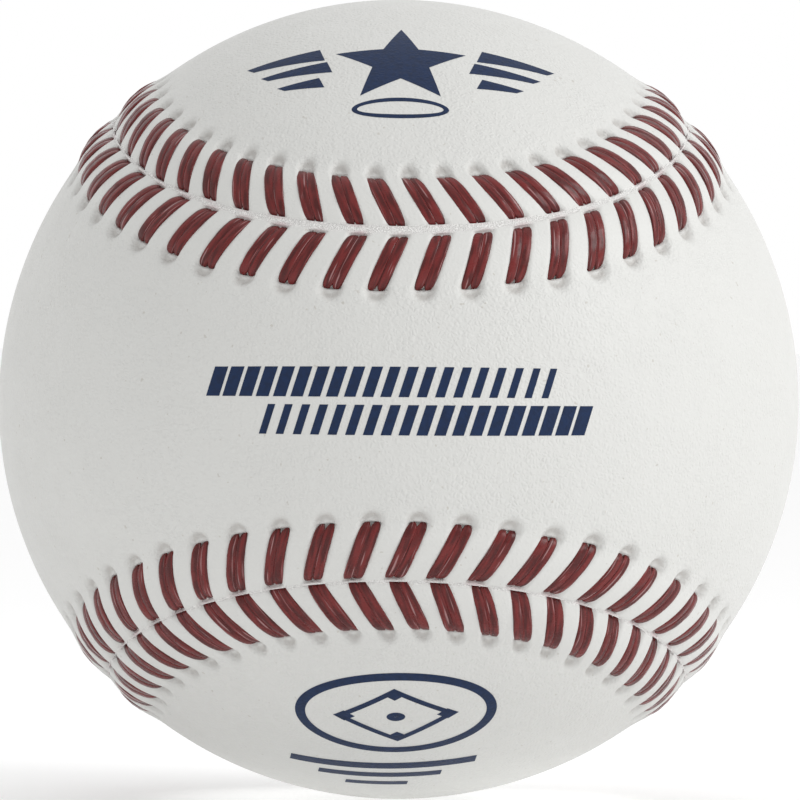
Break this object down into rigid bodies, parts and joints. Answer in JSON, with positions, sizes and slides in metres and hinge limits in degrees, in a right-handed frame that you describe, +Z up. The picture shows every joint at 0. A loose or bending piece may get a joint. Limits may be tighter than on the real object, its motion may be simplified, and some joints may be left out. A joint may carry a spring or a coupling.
{
  "type": "baseball",
  "caption": "Leather baseball for pitching machines: two figure-eight panels, raised red double stitching, layered wool windings and a cork and rubber pill.",
  "frame": {"origin": "centre of the ball", "axes": "+Z up; the front panel is narrowest at -Y and the back panel at +Y, so Y is the axis about which the seam repeats itself; the front panel's lobes are at -X and +X, the back panel's at -Z and +Z"},
  "size_m": [0.0738, 0.0738, 0.0738],
  "materials": {
    "cork": "cork granules bound with rubber",
    "black_rubber": "moulded matt",
    "red_rubber": "moulded matt",
    "grey_wool": "wound wool yarn",
    "white_wool": "wound wool yarn",
    "finishing_yarn": "fine wound cotton and polyester yarn, glued",
    "cover_leather": "off-white, fine grain, satin",
    "waxed_thread": "waxed two-strand thread, dark red"
  },
  "bodies": {
    "root": {"cork_core": "cork", "rubber_half_shell_front": "black_rubber", "rubber_half_shell_back": "black_rubber", "rubber_gasket": "red_rubber", "red_rubber_shell": "red_rubber", "first_winding": "grey_wool", "second_winding": "white_wool", "third_winding": "grey_wool", "finishing_winding": "finishing_yarn", "cover_panel_front": "cover_leather", "cover_panel_back": "cover_leather", "stitches_top_front": "waxed_thread", "stitches_top_back": "waxed_thread", "stitches_left_front": "waxed_thread", "stitches_left_back": "waxed_thread", "stitches_bottom_front": "waxed_thread", "stitches_bottom_back": "waxed_thread", "stitches_right_front": "waxed_thread", "stitches_right_back": "waxed_thread"}
  },
  "joints": []
}
